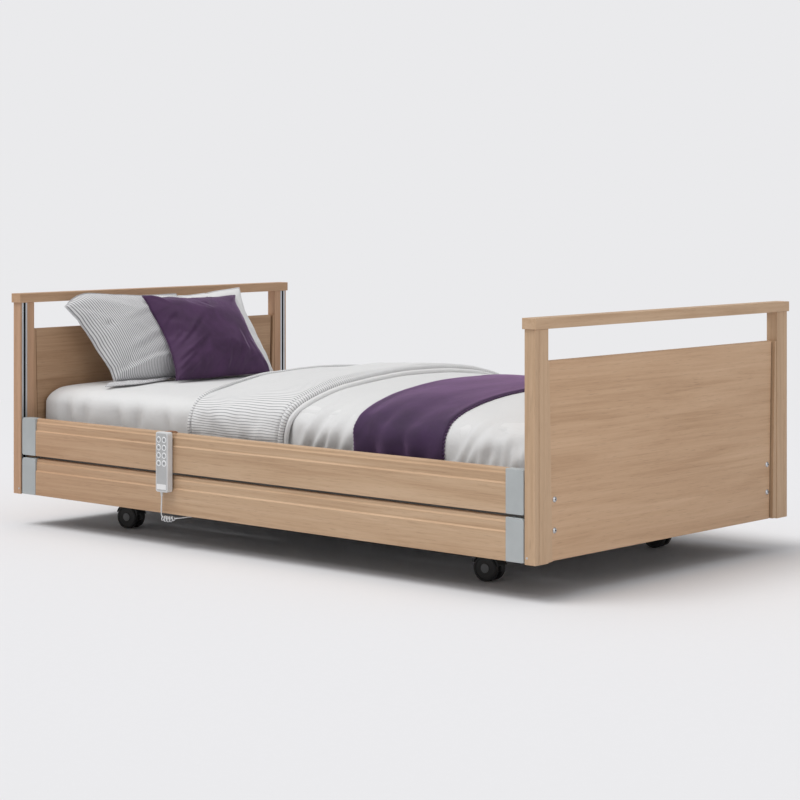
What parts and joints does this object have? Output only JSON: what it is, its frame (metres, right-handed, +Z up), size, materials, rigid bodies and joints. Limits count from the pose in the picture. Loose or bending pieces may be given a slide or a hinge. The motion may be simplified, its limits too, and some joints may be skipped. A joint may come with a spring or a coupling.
{
  "type": "adjustable hospital bed",
  "caption": "Low profiling bed: wooden end boards, lowering double side rails, hung handset, castors, lifting folding platform and made-up bedding.",
  "frame": {"origin": "on the floor, under the middle of the bed", "axes": "+X towards the foot end, +Y towards the side away from the handset, +Z up"},
  "size_m": [2.19, 1.2582, 0.758],
  "materials": {
    "oak": "satin lacquered, fine straight grain along the piece",
    "oak_panel": "satin lacquered, horizontal grain",
    "end_cap_plastic": "fine moulded texture",
    "aluminium_track": "anodised, drawn lines",
    "painted_steel": "powder coat",
    "motor_housing": "moulded",
    "chromed_rod": "polished",
    "castor_body": "moulded nylon",
    "castor_tyre": "polyurethane tread",
    "handset_shell": "satin moulded",
    "handset_key": "soft-touch",
    "mattress_cover": "fitted white sheet",
    "white_linen": "plain woven cotton",
    "striped_linen": "woven thin grey stripes",
    "purple_velvet": "soft velvet"
  },
  "bodies": {
    "chassis": {"base_frame": "painted_steel"},
    "head_arm": {"head_lift_arm": "painted_steel"},
    "foot_arm": {"foot_lift_arm": "painted_steel"},
    "bed": {"bed_frame": "painted_steel", "headboard_frame": "oak", "headboard_panel": "oak_panel", "footboard_frame": "oak", "footboard_panel": "oak_panel", "head_near_guide_track": "aluminium_track", "head_far_guide_track": "aluminium_track", "foot_near_guide_track": "aluminium_track", "foot_far_guide_track": "aluminium_track", "mattress_seat_section": "mattress_cover"},
    "lift_motor": {"lift_motor": "motor_housing"},
    "lift_rod": {"lift_rod": "chromed_rod"},
    "backrest": {"backrest_frame": "painted_steel", "mattress_back_section": "mattress_cover", "striped_pillow": "striped_linen", "white_pillow": "white_linen", "purple_cushion": "purple_velvet"},
    "back_motor": {"back_motor": "motor_housing"},
    "back_rod": {"back_rod": "chromed_rod"},
    "thigh": {"thigh_frame": "painted_steel", "mattress_thigh_section": "mattress_cover", "duvet_thigh_section": "white_linen"},
    "calf": {"calf_frame": "painted_steel", "mattress_calf_section": "mattress_cover", "duvet_calf_section": "white_linen", "bed_runner": "purple_velvet"},
    "leg_motor": {"leg_motor": "motor_housing"},
    "leg_rod": {"leg_rod": "chromed_rod"},
    "near_upper_board": {"near_upper_rail": "oak", "near_upper_head_end_cap": "end_cap_plastic", "near_upper_foot_end_cap": "end_cap_plastic"},
    "near_lower_board": {"near_lower_rail": "oak", "near_lower_head_end_cap": "end_cap_plastic", "near_lower_foot_end_cap": "end_cap_plastic"},
    "far_upper_board": {"far_upper_rail": "oak", "far_upper_head_end_cap": "end_cap_plastic", "far_upper_foot_end_cap": "end_cap_plastic"},
    "far_lower_board": {"far_lower_rail": "oak", "far_lower_head_end_cap": "end_cap_plastic", "far_lower_foot_end_cap": "end_cap_plastic"},
    "handset": {"handset_case": "handset_shell"},
    "backrest_up_key": {"backrest_up_button": "handset_key"},
    "backrest_down_key": {"backrest_down_button": "handset_key"},
    "knee_up_key": {"knee_up_button": "handset_key"},
    "knee_down_key": {"knee_down_button": "handset_key"},
    "height_up_key": {"height_up_button": "handset_key"},
    "height_down_key": {"height_down_button": "handset_key"},
    "tilt_up_key": {"tilt_up_button": "handset_key"},
    "tilt_down_key": {"tilt_down_button": "handset_key"},
    "head_near_castor": {"head_near_castor_fork": "castor_body"},
    "head_near_wheels": {"head_near_castor_wheels": "castor_tyre"},
    "head_far_castor": {"head_far_castor_fork": "castor_body"},
    "head_far_wheels": {"head_far_castor_wheels": "castor_tyre"},
    "foot_near_castor": {"foot_near_castor_fork": "castor_body"},
    "foot_near_wheels": {"foot_near_castor_wheels": "castor_tyre"},
    "foot_far_castor": {"foot_far_castor_fork": "castor_body"},
    "foot_far_wheels": {"foot_far_castor_wheels": "castor_tyre"}
  },
  "joints": [
    {"name": "bed_height", "type": "hinge", "parent": "chassis", "child": "head_arm", "pos_m": [-0.62, 0, 0.145], "axis": [0, -1, 0], "range_deg": [0, 60]},
    {"name": "foot_arm_swing", "type": "hinge", "parent": "chassis", "child": "foot_arm", "pos_m": [0.2, 0, 0.145], "axis": [0, -1, 0], "range_deg": [0, 60]},
    {"name": "bed_level", "type": "hinge", "parent": "head_arm", "child": "bed", "pos_m": [-0.14117, 0, 0.17848], "axis": [0, -1, 0], "range_deg": [-60, 0]},
    {"name": "lift_motor_pivot", "type": "hinge", "parent": "chassis", "child": "lift_motor", "pos_m": [-0.2, 0, 0.16], "axis": [0, -1, 0], "range_deg": [-0.01, 0.5]},
    {"name": "lift_rod_stroke", "type": "slide", "parent": "lift_motor", "child": "lift_rod", "axis": [-0.99, 0, 0.1414], "range_m": [0, 0.07983]},
    {"name": "backrest_tilt", "type": "hinge", "parent": "bed", "child": "backrest", "pos_m": [-0.22, 0, 0.282], "axis": [0, 1, 0], "range_deg": [0, 70]},
    {"name": "back_motor_pivot", "type": "hinge", "parent": "bed", "child": "back_motor", "pos_m": [0.225, -0.12, 0.238], "axis": [0, -1, 0], "range_deg": [-0.01, 0.72]},
    {"name": "back_rod_stroke", "type": "slide", "parent": "back_motor", "child": "back_rod", "axis": [-0.9991, 0, -0.0433], "range_m": [0, 0.08647]},
    {"name": "knee_raise", "type": "hinge", "parent": "bed", "child": "thigh", "pos_m": [0, 0, 0.282], "axis": [0, -1, 0], "range_deg": [0, 35]},
    {"name": "calf_fold", "type": "hinge", "parent": "thigh", "child": "calf", "pos_m": [0.33, 0, 0.282], "axis": [0, -1, 0], "range_deg": [-51.45, 0]},
    {"name": "leg_motor_pivot", "type": "hinge", "parent": "bed", "child": "leg_motor", "pos_m": [-0.365, 0.12, 0.24], "axis": [0, -1, 0], "range_deg": [-0.01, 0.235]},
    {"name": "leg_rod_stroke", "type": "slide", "parent": "leg_motor", "child": "leg_rod", "axis": [0.9963, 0, -0.0859], "range_m": [0, 0.04546]},
    {"name": "near_rail_raise", "type": "slide", "parent": "bed", "child": "near_upper_board", "axis": [0, 0, 1], "range_m": [0, 0.349]},
    {"name": "near_lower_rail_follow", "type": "slide", "parent": "bed", "child": "near_lower_board", "axis": [0, 0, 1], "range_m": [0, 0.26813]},
    {"name": "far_rail_raise", "type": "slide", "parent": "bed", "child": "far_upper_board", "axis": [0, 0, 1], "range_m": [0, 0.349]},
    {"name": "far_lower_rail_follow", "type": "slide", "parent": "bed", "child": "far_lower_board", "axis": [0, 0, 1], "range_m": [0, 0.26813]},
    {"name": "handset_lift_off", "type": "slide", "parent": "near_upper_board", "child": "handset", "axis": [0, 0, 1], "range_m": [0, 0.06]},
    {"name": "press_backrest_up", "type": "slide", "parent": "handset", "child": "backrest_up_key", "axis": [0, 1, 0], "range_m": [0, 0.0012]},
    {"name": "press_backrest_down", "type": "slide", "parent": "handset", "child": "backrest_down_key", "axis": [0, 1, 0], "range_m": [0, 0.0012]},
    {"name": "press_knee_up", "type": "slide", "parent": "handset", "child": "knee_up_key", "axis": [0, 1, 0], "range_m": [0, 0.0012]},
    {"name": "press_knee_down", "type": "slide", "parent": "handset", "child": "knee_down_key", "axis": [0, 1, 0], "range_m": [0, 0.0012]},
    {"name": "press_height_up", "type": "slide", "parent": "handset", "child": "height_up_key", "axis": [0, 1, 0], "range_m": [0, 0.0012]},
    {"name": "press_height_down", "type": "slide", "parent": "handset", "child": "height_down_key", "axis": [0, 1, 0], "range_m": [0, 0.0012]},
    {"name": "press_tilt_up", "type": "slide", "parent": "handset", "child": "tilt_up_key", "axis": [0, 1, 0], "range_m": [0, 0.0012]},
    {"name": "press_tilt_down", "type": "slide", "parent": "handset", "child": "tilt_down_key", "axis": [0, 1, 0], "range_m": [0, 0.0012]},
    {"name": "swivel_head_near_castor", "type": "hinge", "parent": "chassis", "child": "head_near_castor", "pos_m": [-0.77, -0.41, 0.0975], "axis": [0, 0, 1], "continuous": true},
    {"name": "wheel_head_near_spin", "type": "hinge", "parent": "head_near_castor", "child": "head_near_wheels", "pos_m": [-0.74833, -0.40618, 0.0375], "axis": [-0.1736, 0.9848, 0], "continuous": true},
    {"name": "swivel_head_far_castor", "type": "hinge", "parent": "chassis", "child": "head_far_castor", "pos_m": [-0.77, 0.41, 0.0975], "axis": [0, 0, 1], "continuous": true},
    {"name": "wheel_head_far_spin", "type": "hinge", "parent": "head_far_castor", "child": "head_far_wheels", "pos_m": [-0.74821, 0.40694, 0.0375], "axis": [0.1392, 0.9903, 0], "continuous": true},
    {"name": "swivel_foot_near_castor", "type": "hinge", "parent": "chassis", "child": "foot_near_castor", "pos_m": [0.735, -0.405, 0.0975], "axis": [0, 0, 1], "continuous": true},
    {"name": "wheel_foot_near_spin", "type": "hinge", "parent": "foot_near_castor", "child": "foot_near_wheels", "pos_m": [0.75679, -0.40194, 0.0375], "axis": [-0.1392, 0.9903, 0], "continuous": true},
    {"name": "swivel_foot_far_castor", "type": "hinge", "parent": "chassis", "child": "foot_far_castor", "pos_m": [0.735, 0.405, 0.0975], "axis": [0, 0, 1], "continuous": true},
    {"name": "wheel_foot_far_spin", "type": "hinge", "parent": "foot_far_castor", "child": "foot_far_wheels", "pos_m": [0.75688, 0.4073, 0.0375], "axis": [-0.1045, 0.9945, 0], "continuous": true}
  ],
  "couplings": [
    {"joint": "foot_arm_swing", "follows": "bed_height", "ratio": 1},
    {"joint": "bed_level", "follows": "bed_height", "ratio": -1},
    {"joint": "lift_motor_pivot", "follows": "bed_height", "ratio": 0.008167},
    {"joint": "lift_rod_stroke", "follows": "bed_height", "m_per_rad": 0.075759},
    {"joint": "back_motor_pivot", "follows": "backrest_tilt", "ratio": 0.010143},
    {"joint": "back_rod_stroke", "follows": "backrest_tilt", "m_per_rad": 0.070367},
    {"joint": "calf_fold", "follows": "knee_raise", "ratio": -1.47},
    {"joint": "leg_motor_pivot", "follows": "knee_raise", "ratio": 0.006429},
    {"joint": "leg_rod_stroke", "follows": "knee_raise", "m_per_rad": 0.073598},
    {"joint": "near_lower_rail_follow", "follows": "near_rail_raise", "ratio": 0.768},
    {"joint": "far_lower_rail_follow", "follows": "far_rail_raise", "ratio": 0.768}
  ]
}
